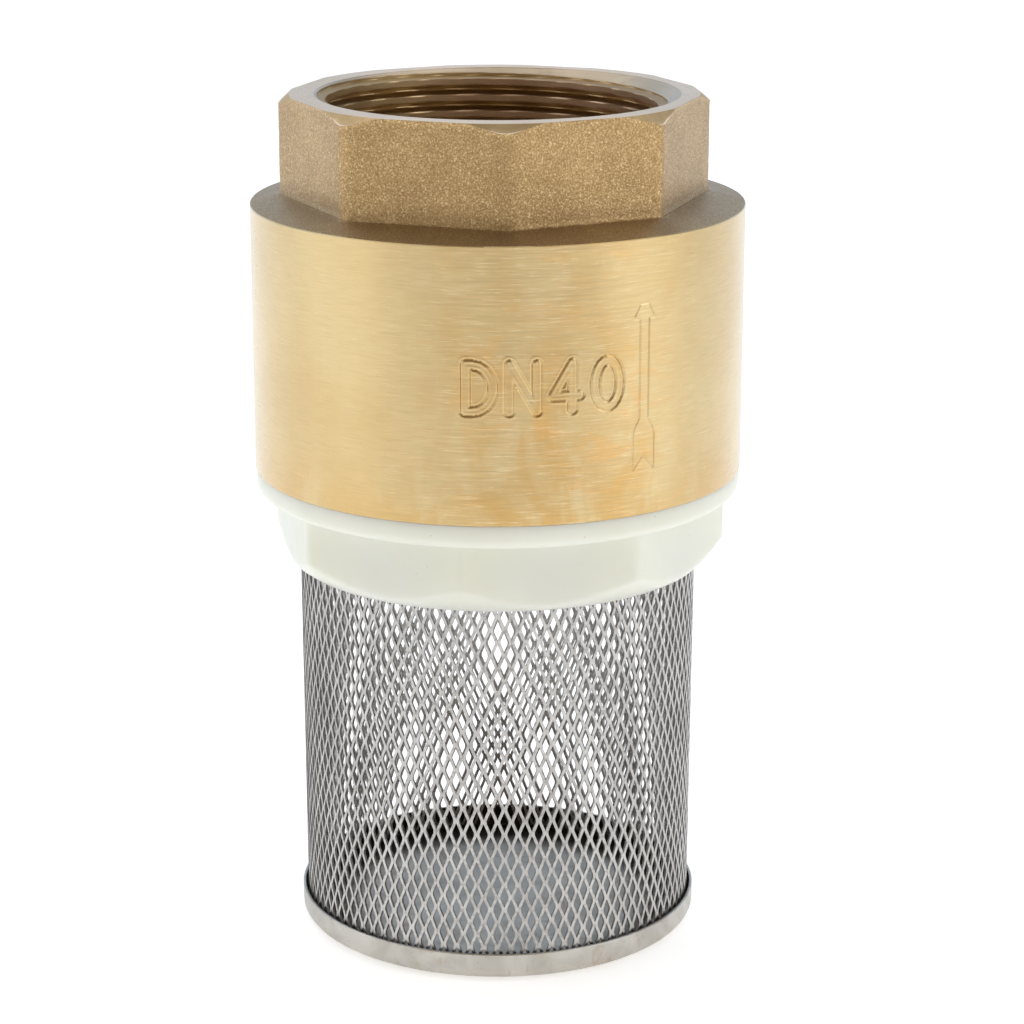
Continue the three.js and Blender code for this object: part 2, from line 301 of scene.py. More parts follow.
def dull_brass(name, pale, deep):
    """Brass cut by a blunt tool: a dull tan with a faint drag of the tool, and a painted shade that darkens
    the front.
    """
    s = Shader(name, pale, 1.0, 0.5)
    lines = s.noise(1.0, 2.0, 0.6, turning(s, 5.0, 5.0))
    cloud = s.noise(260.0, 3.0, 0.6)
    tone = s.mix(s.ramp(cloud, 0.3, 0.7), pale, deep)
    tone = s.mix(s.ramp(lines, 0.5, 0.8, 0.0, 0.35), tone, (0.50, 0.40, 0.26))
    # Painted shade: the chamfer's front corner is darkened.
    front = s.ramp(s.parts()[1], FRONT_CHAMFER * MM, (FRONT_CHAMFER + 2) * MM, 0.55, 0.0)
    tone = s.mix(front, tone, (0.20, 0.14, 0.07))
    return s.set(
        Base_Color=tone,
        Roughness=s.ramp(lines, 0.2, 0.8, 0.42, 0.6),
        Normal=s.bump(lines, 0.00002, 0.5),
    )


def thread_brass(crest):
    """Cut brass in the outlet: brown crests, yellower roots, and darker on what faces up."""
    s = Shader("thread_brass", (0.7, 0.52, 0.33), 1.0, 0.38, Anisotropic=0.4)
    lines = s.noise(1.0, 2.0, 0.6, turning(s, 5.0, 9.0))
    cloud = s.noise(140.0, 3.0, 0.6)
    depth = s.ramp(s.radius(), (crest + 0.1) * MM, (crest + 0.6) * MM)
    tone = s.mix(depth, (0.76, 0.56, 0.40), (0.74, 0.57, 0.31))
    tone = s.mix(s.ramp(cloud, 0.4, 0.7, 0.0, 0.3), tone, (0.52, 0.33, 0.19))
    upward = s.add("SeparateXYZ", {0: s.add("NewGeometry").outputs["True Normal"]}).outputs[2]
    tone = s.mix(s.ramp(upward, 0.35, 0.8, 0.0, 0.7), tone, (0.20, 0.12, 0.05))
    tone = s.mix(s.ramp(lines, 0.35, 0.7, 0.0, 0.2), tone, (0.36, 0.24, 0.12))
    tangent = s.tangent()
    return s.set(
        Base_Color=tone,
        Roughness=s.ramp(lines, 0.2, 0.8, 0.34, 0.5),
        Normal=s.bump(lines, 0.00002, 0.5),
        Tangent=tangent,
    )


def nylon(name, white, shade):
    """Natural moulded nylon: milky, a little light inside it, faint flow marks and specks."""
    s = Shader(
        name,
        white,
        0.0,
        0.36,
        **{
            "Subsurface Weight": 0.55,
            "Subsurface Radius": (1.0, 0.95, 0.75),
            "Subsurface Scale": 0.004,
            "IOR": 1.52,
        },
    )
    cloud = s.noise(60.0, 3.0, 0.5, s.scaled(1, 1, 1.6), 0.5)
    tone = s.mix(s.ramp(cloud, 0.3, 0.7), white, shade)
    specks = s.ramp(s.cells(330.0), 0.015, 0.04, 0.5, 0.0)
    tone = s.mix(specks, tone, (0.35, 0.27, 0.16))
    flow = s.noise(260.0, 4.0, 0.6, s.scaled(1, 1, 0.5), 1.2)
    rough = s.ramp(flow, 0.3, 0.7, 0.3, 0.46)
    normal = s.bump(flow, 0.00006, 0.35)
    normal = s.bump(s.noise(2500.0, 2.0), 0.00001, 0.3, normal)
    return s.set(Base_Color=tone, Roughness=rough, Normal=normal)


def stainless_sheet(name, pale, deep, stain, roughness, dirt_and_shade_start=None, dirt_and_shade_end=None):
    """Cold-rolled stainless sheet, drawn to shape: drawing marks, dull patches, brown stains.
    Dirt and a painted shade may lie on it from one radius outwards, and be thick past the other."""
    s = Shader(name, pale, 1.0, roughness)
    cloud = s.noise(170.0, 4.0, 0.6, None, 0.6)
    draw = s.noise(1.0, 3.0, 0.6, s.scaled(1900, 1900, 260))
    tone = s.mix(s.ramp(cloud, 0.3, 0.7), pale, deep)
    rust = s.noise(240.0, 5.0, 0.65, None, 1.2)
    tone = s.mix(s.ramp(rust, 0.54, 0.74, 0.0, 0.7), tone, stain)
    pits = s.ramp(s.cells(1100.0), 0.05, 0.16, 0.6, 0.0)
    tone = s.mix(pits, tone, s.mix(0.7, tone, (0.12, 0.10, 0.08)))
    rough = s.ramp(cloud, 0.25, 0.75, roughness - 0.06, roughness + 0.12)
    if dirt_and_shade_start is not None:
        # Dirt and a painted shade darken the cup towards its corner, where the wall is in shade.
        patchy = s.math("MULTIPLY", s.noise(420.0, 3.0, 0.6), 0.003)
        dirt = s.ramp(s.math("ADD", s.radius(), patchy), dirt_and_shade_start * MM, dirt_and_shade_end * MM, 0.0, 0.97)
        tone = s.mix(dirt, tone, (0.035, 0.027, 0.02))
        rough = s.math("MAXIMUM", rough, s.math("MULTIPLY", dirt, 0.7))
    normal = s.bump(draw, 0.00003, 0.4)
    normal = s.bump(s.cells(1100.0), 0.00005, 0.25, normal)
    return s.set(Base_Color=tone, Roughness=rough, Normal=normal)


def stainless_strand(name, pale, deep, dark, roughness):
    """A strand of the screen: grey steel with a fine grain of stretching and dirt."""
    s = Shader(name, pale, 1.0, roughness)
    grain = s.noise(1700.0, 3.0, 0.6)
    cloud = s.noise(120.0, 3.0, 0.6)
    tone = s.mix(s.ramp(cloud, 0.3, 0.7), pale, deep)
    tone = s.mix(s.ramp(grain, 0.45, 0.7, 0.0, 0.5), tone, dark)
    rough = s.ramp(grain, 0.3, 0.7, roughness - 0.08, roughness + 0.12)
    return s.set(Base_Color=tone, Roughness=rough, Normal=s.bump(grain, 0.00003, 0.5))


def drawn_steel(name, tone_a, tone_b, roughness):
    """Turned or drawn stainless: fine lines round the axis."""
    s = Shader(name, tone_a, 1.0, roughness)
    lines = s.noise(1.0, 2.0, 0.6, turning(s, 7.0, 4.0))
    cloud = s.noise(300.0, 3.0, 0.6)
    tone = s.mix(s.ramp(cloud, 0.3, 0.7), tone_a, tone_b)
    tone = s.mix(s.ramp(lines, 0.4, 0.7, 0.0, 0.25), tone, (0.25, 0.25, 0.26))
    rough = s.ramp(lines, 0.3, 0.7, roughness - 0.05, roughness + 0.12)
    return s.set(Base_Color=tone, Roughness=rough, Normal=s.bump(lines, 0.00002, 0.4))


def rubber():
    """Black nitrile rubber with a dusty bloom."""
    s = Shader("nitrile_rubber", (0.018, 0.018, 0.019), 0.0, 0.62)
    grain = s.noise(1500.0, 4.0, 0.6)
    bloom = s.noise(220.0, 3.0, 0.6)
    tone = s.mix(s.ramp(bloom, 0.4, 0.75), (0.014, 0.014, 0.015), (0.05, 0.05, 0.052))
    rough = s.ramp(grain, 0.3, 0.7, 0.5, 0.78)
    return s.set(Base_Color=tone, Roughness=rough, Normal=s.bump(grain, 0.00003, 0.5))


def paper_floor():
    """White acrylic that is lit a little from below."""
    s = Shader("paper_floor", (0.9, 0.9, 0.9), 0.0, 0.9)
    tone = s.mix(s.noise(3.0), (0.92, 0.92, 0.92), (0.93, 0.93, 0.93))
    return s.set(Base_Color=tone, Emission_Color=(1.0, 1.0, 1.0, 1.0), Emission_Strength=FLOOR_GLOW)


# Mesh helpers ------------------------------------------------

TURN = 360.0


def on_circle(angle, radius, height):
    """Points in millimetres at those angles, radii and heights, each a number or an array."""
    angle, radius, height = np.broadcast_arrays(np.radians(angle), radius, height)
    return np.stack([radius * np.sin(angle), -radius * np.cos(angle), height], axis=-1)


def make_object(name, points, faces, materials, slots=None, crease=35.0):
    """A smooth-shaded object from points in millimetres, with hard edges past the crease angle."""
    mesh = bpy.data.meshes.new(name)
    mesh.from_pydata((np.asarray(points, float) * MM).tolist(), [], faces)
    for material in materials:
        mesh.materials.append(material)
    if slots is not None:
        mesh.polygons.foreach_set("material_index", np.asarray(slots, np.int32))
    mesh.polygons.foreach_set("use_smooth", np.ones(len(mesh.polygons), bool))
    mesh.update()
    mesh.validate()
    mesh.set_sharp_from_angle(angle=math.radians(crease))
    made = bpy.data.objects.new(name, mesh)
    bpy.context.scene.collection.objects.link(made)
    return made


def rounded(outline, steps=4):
    """An outline whose entries (r, z, radius) are corners to be rounded by arcs."""
    points = []
    count = len(outline)
    for i, entry in enumerate(outline):
        corner = np.array(entry[:2], float)
        radius = entry[2] if len(entry) > 2 else 0.0
        if radius <= 0:
            points.append(tuple(corner))
            continue
        before = np.array(outline[i - 1][:2], float) - corner
        after = np.array(outline[(i + 1) % count][:2], float) - corner
        before_unit = before / np.linalg.norm(before)
        after_unit = after / np.linalg.norm(after)
        half = math.acos(max(-1.0, min(1.0, float(before_unit @ after_unit)))) / 2
        reach = min(radius / math.tan(half), 0.48 * np.linalg.norm(before), 0.48 * np.linalg.norm(after))
        radius = reach * math.tan(half)
        bisector = before_unit + after_unit
        centre = corner + bisector / np.linalg.norm(bisector) * radius / math.sin(half)
        start = corner + before_unit * reach - centre
        end = corner + after_unit * reach - centre
        turn = math.atan2(start[0] * end[1] - start[1] * end[0], float(start @ end))
        for step in range(steps + 1):
            a = turn * step / steps
            spun_r = start[0] * math.cos(a) - start[1] * math.sin(a)
            spun_z = start[0] * math.sin(a) + start[1] * math.cos(a)
            points.append((centre[0] + spun_r, centre[1] + spun_z))
    return points


class Rings:
    """A skin made of rings of points round the axis, from one end of an outline to the other."""

    def __init__(self):
        self.rings = []
        self.slots = []

    def add(self, angles, radius, height, slot=0):
        """Adds a ring. The slot is the material of the band from this ring to the next, or a list
        of one for each angle, when the next ring has the same angles."""
        points = on_circle(angles, radius, height)
        self.rings.append((np.broadcast_to(np.asarray(angles, float), points.shape[:1]), points))
        self.slots.append(slot)

    def outline(self, angles, points, slot=0):
        for r, z in points:
            self.add(angles, r, z, slot)

    def faces(self, closed):
        starts = np.cumsum([0] + [len(a) for a, _ in self.rings])
        faces, slots = [], []
        last = len(self.rings) if closed else len(self.rings) - 1
        for i in range(last):
            j = (i + 1) % len(self.rings)
            made = self.band(i, j, starts[i], starts[j])
            faces += made
            slots += np.broadcast_to(self.slots[i], len(made)).tolist()
        return faces, slots

    def band(self, i, j, start_i, start_j):
        first, second = self.rings[i][0], self.rings[j][0]
        n, m = len(first), len(second)
        if n == m:
            k = np.arange(n)
            after = (k + 1) % n
            quads = np.stack([start_i + k, start_i + after, start_j + after, start_j + k], axis=1)
            return quads.tolist()
        made, p, q = [], 0, 0
        while p < n or q < m:
            next_p = first[p + 1] if p + 1 < n else first[0] + TURN
            next_q = second[q + 1] if q + 1 < m else second[0] + TURN
            here_p, here_q = start_i + p % n, start_j + q % m
            if q >= m or (p < n and next_p <= next_q):
                made.append([here_p, start_i + (p + 1) % n, here_q])
                p += 1
            else:
                made.append([here_p, start_j + (q + 1) % m, here_q])
                q += 1
        return made

    def build(self, name, materials, crease=35.0):
        """A skin that closes on itself: the last ring joins the first."""
        points = np.concatenate([p for _, p in self.rings])
        faces, slots = self.faces(True)
        return make_object(name, points, faces, materials, slots, crease)

    def build_solid(self, name, materials, low, high, crease=35.0):
        """A skin whose first and last rings are closed by fans round two points on the axis."""
        points = np.concatenate([p for _, p in self.rings])
        faces, slots = self.faces(False)
        count, poles = len(self.rings[0][0]), len(points)
        for k in range(count):
            after = (k + 1) % count
            faces.append([poles, after, k])
            faces.append([poles + 1, poles - count + k, poles - count + after])
            slots += [self.slots[0], self.slots[-1]]
        points = np.concatenate([points, [[0, 0, low], [0, 0, high]]])
        return make_object(name, points, faces, materials, slots, crease)


def even_angles(count):
    return np.linspace(-TURN / 2, TURN / 2, count, endpoint=False)


def turned(name, outline, material, steps=128, crease=35.0):
    """A turned piece from an outline that is listed with its solid on the left, going upwards
    outside. It closes on itself, or runs from one point on the axis to another."""
    points = rounded(outline)
    reaches_axis = points[0][0] < 1e-6 and points[-1][0] < 1e-6
    rings = Rings()
    rings.outline(even_angles(steps), points[1:-1] if reaches_axis else points)
    if reaches_axis:
        return rings.build_solid(name, [material], points[0][1], points[-1][1], crease)
    return rings.build(name, [material], crease)


def octagon_outline(apothem, corner_radii, first_corner, shift=(0.0, 0.0)):
    """Points round an octagon whose corners have their own radii and whose middle may be off."""
    half = TURN / 16
    points = []
    for index, radius in enumerate(corner_radii):
        corner = first_corner + index * 2 * half
        centre = on_circle(corner, (apothem - radius) / math.cos(math.radians(half)), 0.0)
        points += [centre + on_circle(corner + turn, radius, 0.0) for turn in np.linspace(-half, half, 9)]
    return np.array(points)[:, :2] + shift


def radius_towards(angles, outline):
    """A closed outline's distance from the axis at those angles."""
    ring = np.vstack([outline, outline[:1]])
    along = np.arange(len(ring))
    dense = np.linspace(0, len(ring) - 1, 40 * len(ring))
    x, y = np.interp(dense, along, ring[:, 0]), np.interp(dense, along, ring[:, 1])
    return np.interp(angles, *sorted_by_angle(np.degrees(np.arctan2(x, -y)), np.hypot(x, y)), period=TURN)


def sorted_by_angle(angles, values):
    order = np.argsort(angles)
    return angles[order], values[order]


def off_axis(angles, radius, shift):
    """The distance from the axis, at those angles, of a circle whose centre lies off it."""
    turn = np.radians(angles)
    towards = shift[0] * np.sin(turn) - shift[1] * np.cos(turn)
    return towards + np.sqrt(radius**2 - (shift[0] ** 2 + shift[1] ** 2 - towards**2))


def swept_faces(count, sides):
    """The faces of a bar made of that many sections, each with that many points."""
    faces = []
    for start in range(0, (count - 1) * sides, sides):
        for k in range(sides):
            after = (k + 1) % sides
            faces.append([start + k, start + sides + k, start + sides + after, start + after])
    faces.append(list(range(sides)))
    faces.append([(count - 1) * sides + k for k in range(sides)][::-1])
    return faces


def tube_along(path, section_radius, sides):
    """Points and faces of a round bar that follows a path of points, in millimetres."""
    path = np.asarray(path, float)
    tangents = np.gradient(path, axis=0)
    tangents /= np.linalg.norm(tangents, axis=1)[:, None]
    up = np.array([0.0, 0.0, 1.0])
    side = np.cross(tangents, up)
    side /= np.linalg.norm(side, axis=1)[:, None]
    lift = np.cross(side, tangents)
    angles = np.linspace(0, 2 * math.pi, sides, endpoint=False)
    rings = (
        path[:, None, :]
        + section_radius * np.cos(angles)[None, :, None] * side[:, None, :]
        + section_radius * np.sin(angles)[None, :, None] * lift[:, None, :]
    )
    return rings.reshape(-1, 3), swept_faces(len(path), sides)


def levels(node):
    """The heights of a CAD node's underside and top."""
    return bottom_of(node), top_of(node)


def settle(piece, body, slot, *nodes):
    """Rides a piece on its body and hides the CAD nodes it stands for. The finish it is given is not used.
    """
    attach(piece, body)
    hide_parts(*nodes)
    return piece


# The cast and turned brass body ------------------------------

OUTLET = top_of("valve_body")
BARREL = radius_of("valve_body")
BARREL_FOOT = bottom_of("valve_body")
SHOULDER = OUTLET - 14.75
NECK_FOOT = OUTLET - 13.6
NECK_APOTHEM = 27.4
NECK_CORNERS = (4.6, 1.6, 2.4, 2.8, 2.8, 2.8, 2.6, 3.2)  # each corner's radius, from -Y round by +X
NECK_SHIFT = (-0.42, -0.1)  # the casting's octagon isn't quite centred on the turned barrel
CHAMFER_RADIUS = 27.95  # where the octagon's turned chamfer leaves the outlet face
CHAMFER_SLOPE = 0.9
MOUTH = 24.9  # the outlet's radius at its face
THREAD_PITCH = 2.309
THREAD_MAJOR = 23.9
THREAD_START = 0.17  # the first crest's depth at the front, where it starts
FIRST_FLANK = 0.3  # the first crest's upper flank is steeper than the others
FADE_IN = 0.08  # turns over which the first crest rises
THREAD_CREST = 22.75
CREST_WIDTH = 0.9
THREAD_SHIFT = (-0.75, 0.1)  # the thread isn't quite centred on the barrel either
MOUTH_SLOPE = 0.72  # the countersink's depth for each mm of radius
THREAD_DEPTH = 16.5
STOP_RADIUS = 21.5
CHAMBER = 28.8
CHAMBER_TOP = 97.5
SOCKET_TOP = 75.3
SOCKET = 30.9

# Marks: a generic nominal size and a flow arrow, cut as outlines in the barrel.
SIZE_MARK_ANGLE = -10.0
SIZE_MARK_BASE = 82.2
STROKE_HALF_WIDTH = 0.62  # of the outlined letters
ARROW_LENGTH = 22.8
ARROW_ANGLE = 31.3
ARROW_FOOT = 72.4
GROOVE_WIDTH = 0.17
GROOVE_DEPTH = 0.16
LETTERS_PATCH = (-13.0, 27.5)
ARROW_PATCH = (27.5, 35.0)
MARK_STEP = 0.115


def arc(centre_x, centre_y, radius_x, radius_y, start, end, steps=10):
    angles = np.radians(np.linspace(start, end, steps))
    return [(centre_x + radius_x * math.cos(a), centre_y + radius_y * math.sin(a)) for a in angles]


def size_mark():
    """Centre lines of plain round strokes that spell DN40, in millimetres."""
    height, width, gap = 6.2, 3.6, 2.1
    letters = [
        [[(0, 0), (0, height), *arc(0.9, height / 2, width - 0.9, height / 2, 90, -90), (0, 0)]],
        [[(0, 0), (0, height), (width, 0), (width, height)]],
        [[(width * 0.72, 0), (width * 0.72, height), (0, height * 0.3), (width, height * 0.3)]],
        [arc(width / 2, height / 2, width / 2, height / 2, 90, 450, 22)],
    ]
    lines = []
    for index, strokes in enumerate(letters):
        shift = index * (width + gap)
        lines += [[(x + shift, y) for x, y in stroke] for stroke in strokes]
    return lines


def arrow_outline():
    """A flow arrow that points at the outlet: a small head, a thin shaft and a notched tail."""
    head, shaft, tail, height = 1.75, 0.72, 1.75, ARROW_LENGTH
    right = [
        (0, 2.6),
        (tail, 0.6),
        (tail, 5.4),
        (tail - 0.25, 6.3),
        (shaft, 7.6),
        (shaft, height - 2.0),
        (head, height - 1.9),
        (0.75, height),
    ]
    left = [(-x, y) for x, y in reversed(right)][:-1]
    return [*right, *left, right[0]]


def distance_to_lines(x, y, lines):
    """Each point's distance to the nearest of some polylines."""
    nearest = np.full(np.shape(x), 1e9)
    for line in lines:
        for (ax, ay), (bx, by) in zip(line[:-1], line[1:]):
            dx, dy = bx - ax, by - ay
            length = max(dx * dx + dy * dy, 1e-12)
            t = np.clip(((x - ax) * dx + (y - ay) * dy) / length, 0, 1)
            nearest = np.minimum(nearest, np.hypot(x - ax - t * dx, y - ay - t * dy))
    return nearest


def mark_depth(angles, height):
    """How deep the marks are cut at those angles, at one height: grooves with small lips."""
    arc_x = np.radians(angles - SIZE_MARK_ANGLE) * BARREL
    letters = np.abs(distance_to_lines(arc_x, height - SIZE_MARK_BASE, size_mark()) - STROKE_HALF_WIDTH)
    arrow_x = np.radians(angles - ARROW_ANGLE) * BARREL
    arrow = distance_to_lines(arrow_x, height - ARROW_FOOT, [arrow_outline()])
    letter_cut = np.clip(1 - letters / GROOVE_WIDTH, 0, 1)
    letter_lip = np.clip(1 - np.abs(letters - 1.9 * GROOVE_WIDTH) / GROOVE_WIDTH, 0, 1)
    arrow_cut = np.clip(1 - arrow / (0.85 * GROOVE_WIDTH), 0, 1)
    return GROOVE_DEPTH * (letter_cut - 0.2 * letter_lip) + 0.6 * GROOVE_DEPTH * arrow_cut


def grain(points, size, seed):
    """Smooth random heights from -1 to 1 at each point, with features of that size in mm."""
    offset = Vector((seed * 17.3, seed * 5.1, seed * 9.7))
    return np.array([noise.noise(Vector(p) / size + offset) for p in points])


def outlet_radius(angles, drop):
    """The outlet's inner surface at those angles, at one depth, and where that is countersink.
    Under the countersink is the right-hand thread. Its first turn fades in at the front."""
    relief = off_axis(angles, THREAD_MAJOR, THREAD_SHIFT)
    turned_by = (-np.asarray(angles) % TURN) / TURN
    below_crest = drop - THREAD_START - THREAD_PITCH * turned_by - CREST_WIDTH / 2
    nearest = np.clip(np.round(below_crest / THREAD_PITCH), 0, None)
    away = np.abs(below_crest - nearest * THREAD_PITCH)
    flank = (THREAD_MAJOR - THREAD_CREST) * math.tan(math.radians(27.5))
    flank = np.where(below_crest < 0, FIRST_FLANK, flank)
    ramped = np.clip((away - CREST_WIDTH / 2) / flank, 0, 1)
    eased = 0.8 * ramped + 0.2 * ramped * ramped * (3 - 2 * ramped)
    depth = (THREAD_MAJOR - THREAD_CREST) * (1 - eased) * np.clip((nearest + turned_by) / FADE_IN, 0, 1)
    countersink = MOUTH - drop / MOUTH_SLOPE
    cut_off = countersink > relief
    return np.where(cut_off, countersink, relief - depth), cut_off


def patched_angles(patches, rest_count):
    """Angles close together in the patches, and a number of wide ones over the rest."""
    step = math.degrees(MARK_STEP / BARREL)
    fine = [np.arange(start, end, step) for start, end in patches]
    wide = even_angles(rest_count)
    inside = np.zeros(rest_count, bool)
    for start, end in patches:
        inside |= (wide > start - 1) & (wide < end + 1)
    return np.sort(np.concatenate([*fine, wide[~inside]]))


def valve_body(cast, machined, thread, barrel_finish, mouth_finish, chamfer_finish):
    """The whole body skin: barrel, shoulder, octagonal neck, outlet thread, chamber, socket."""
    CAST, FACED, THREAD, BARREL_SLOT, MOUTH_SLOT, CHAMFER_SLOT = range(6)
    rings = Rings()
    coarse = even_angles(144)
    with_letters = patched_angles([LETTERS_PATCH, ARROW_PATCH], 120)
    with_arrow = patched_angles([ARROW_PATCH], 120)
    edge = 0.15
    foot_corner = [(SOCKET, BARREL_FOOT), (BARREL, BARREL_FOOT, edge), (BARREL, BARREL_FOOT + 1)]
    rings.outline(coarse, rounded(foot_corner)[1:-1], BARREL_SLOT)
    low_mark, high_mark = ARROW_FOOT + 0.2, ARROW_FOOT + ARROW_LENGTH + 0.4
    letters_low, letters_high = SIZE_MARK_BASE - 1.2, SIZE_MARK_BASE + 7.4
    rings.add(coarse, BARREL, low_mark - 2, BARREL_SLOT)
    for z in np.arange(low_mark, high_mark, MARK_STEP):
        marked = with_letters if letters_low < z < letters_high else with_arrow
        rings.add(marked, BARREL - mark_depth(marked, z), z, BARREL_SLOT)
    rings.add(coarse, BARREL, high_mark + 1.5, BARREL_SLOT)
    fine = even_angles(480)
    for z in (SHOULDER - 0.5, SHOULDER - 0.12):
        rings.add(fine, BARREL, z, BARREL_SLOT)
    rings.add(fine, BARREL - 0.1, SHOULDER, CAST)
    outline = octagon_outline(NECK_APOTHEM, NECK_CORNERS, 0.0, NECK_SHIFT)
    neck_skin(rings, fine, radius_towards(fine, outline), CAST, CHAMFER_SLOT, FACED)
    bore_angles = even_angles(176)
    for r, drop in ((MOUTH + 0.12, 0.0), (MOUTH + 0.03, 0.02), (MOUTH - 0.02, 0.1)):
        rings.add(bore_angles, r, OUTLET - drop, MOUTH_SLOT)
    stop = OUTLET - THREAD_DEPTH
    close_rows, near_rows = np.arange(0.2, 2.0, 0.08), np.arange(2.0, 9.0, 0.11)
    deep_rows = np.arange(9.0, THREAD_DEPTH - 1.2, 0.2)
    for drop in (*close_rows, *near_rows, *deep_rows):
        r, cut_off = outlet_radius(bore_angles, drop)
        rings.add(bore_angles, r, OUTLET - drop, np.where(cut_off, MOUTH_SLOT, THREAD))
    rings.slots[-1] = THREAD  # the next ring has other angles, so this one has a single slot
    lower = rounded(
        [
            (THREAD_MAJOR, stop + 1.6),
            (THREAD_MAJOR + 0.8, stop + 1.2, 0.2),
            (THREAD_MAJOR + 0.8, stop, 0.3),
            (STOP_RADIUS, stop, 0.4),
            (STOP_RADIUS, CHAMBER_TOP + 2, 1.2),
            (CHAMBER, CHAMBER_TOP, 2.0),
            (CHAMBER, SOCKET_TOP, 0.3),
            (SOCKET, SOCKET_TOP, 0.3),
            (SOCKET, BARREL_FOOT, 0.5),
            (BARREL, BARREL_FOOT),
        ]
    )[1:-1]
    for r, z in lower:
        rings.add(coarse, r, z, FACED if z < SOCKET_TOP + 1 or z > stop - 0.5 else CAST)
    finishes = [cast, machined, thread, barrel_finish, mouth_finish, chamfer_finish]
    piece = rings.build("valve_body_casting", finishes, crease=38.0)
    return settle(piece, "housing", "cast_brass", "valve_body")


def neck_skin(rings, fine, neck, cast_slot, chamfer_slot, faced_slot):
    """The cast shoulder and the octagon, with a sandy skin, up to the machined outlet face."""
    slope_start = BARREL - 0.1
    for share in np.linspace(0.04, 0.96, 12):
        r = slope_start + (neck - slope_start) * share
        z = SHOULDER + (NECK_FOOT - SHOULDER) * share
        rough_ring(rings, fine, r, z, cast_slot, min(1.0, share * 6))
    for out, rise in ((0.12, 0.0), (0.14, 0.16), (0.1, 0.34), (0.0, 0.5)):
        rough_ring(rings, fine, neck + out, NECK_FOOT + rise, cast_slot, 1.0)
    from_middle = np.hypot(*(on_circle(fine, neck, 0.0)[:, :2] - NECK_SHIFT).T)
    past_cone = np.clip(from_middle - CHAMFER_RADIUS, 0.08, None)
    top = OUTLET - CHAMFER_SLOPE * past_cone
    start = NECK_FOOT + 0.9  # past the soft corner between shoulder and octagon
    for share in np.linspace(0, 1, 26):
        z = start + (top - start) * share
        rough_ring(rings, fine, neck, z, cast_slot, min(1.0, (1 - share) * 30))
    burr = 0.07
    rings.add(fine, neck + burr * 0.6, top + burr, faced_slot)
    inner = neck - past_cone
    for share in (0.10, 0.5, 0.94):
        rings.add(fine, neck + (inner - neck) * share, top + (OUTLET - top) * share, chamfer_slot)
    rings.add(fine, inner, OUTLET, faced_slot)
    rings.add(fine, inner - 0.12, OUTLET, faced_slot)
    rings.add(fine, MOUTH + 0.6, OUTLET, faced_slot)


def rough_ring(rings, angles, radius, height, slot, amount):
    """A ring of cast skin, pushed in and out by a sandy grain and slow waves."""
    points = on_circle(angles, radius, height)
    swell = 0.05 * grain(points, 4.5, 2) + 0.04 * grain(points, 0.9, 1)
    rings.add(angles, np.asarray(radius) + swell * amount - 0.03 * amount, height, slot)


def spider(cast):
    """The hub and its four arms, cast with the body: tapered bars with soft cast edges."""
    hub_outer, hub_bore = 6.5, 5.35
    hub_low, hub_high = bottom_of("guide_bush") - 0.2, top_of("guide_bush") + 0.2
    arm_low, arm_high, arm_half = 96.5, 101.0, 1.6
    vertices, faces = [], []
    hub = [(hub_bore, hub_low), (hub_outer + 0.3, hub_low), (hub_outer, hub_high), (hub_bore, hub_high)]
    steps = 48
    for r, z in hub:
        vertices += on_circle(even_angles(steps), r, z).tolist()
    for i in range(4):
        for k in range(steps):
            a, b = i * steps, ((i + 1) % 4) * steps
            after = (k + 1) % steps
            faces.append([a + k, a + after, b + after, b + k])
    for corner in range(4):
        turn = math.radians(45 + 90 * corner)
        out = np.array([math.cos(turn), math.sin(turn), 0])
        side = np.array([-math.sin(turn), math.cos(turn), 0])
        base = len(vertices)
        for r in (hub_bore + 0.5, CHAMBER + 0.8):
            for z, half in ((arm_low, arm_half * 0.8), (arm_high, arm_half)):
                for sign in (-1, 1):
                    vertices.append((out * r + side * half * sign + np.array([0, 0, z])).tolist())
        quads = [[0, 2, 3, 1], [4, 5, 7, 6], [0, 1, 5, 4], [2, 6, 7, 3], [0, 4, 6, 2], [1, 3, 7, 5]]
        faces += [[base + v for v in quad] for quad in quads]
    piece = make_object("spider", vertices, faces, [cast])
    remesh = piece.modifiers.new("skin", "REMESH")
    remesh.mode = "VOXEL"
    remesh.voxel_size = 0.00032
    soften = piece.modifiers.new("soften", "SMOOTH")
    soften.factor = 0.6
    soften.iterations = 8
    evaluated = piece.evaluated_get(bpy.context.evaluated_depsgraph_get())
    finished = bpy.data.meshes.new_from_object(evaluated)
    piece.modifiers.clear()
    piece.data = finished
    finished.polygons.foreach_set("use_smooth", np.ones(len(finished.polygons), bool))
    return settle(piece, "housing", "cast_brass", "valve_body")


# The nylon collar and the seat -------------------------------

COLLAR_TWIST = -11.9
COLLAR_APOTHEM = 29.55
COLLAR_CORNER = 1.4


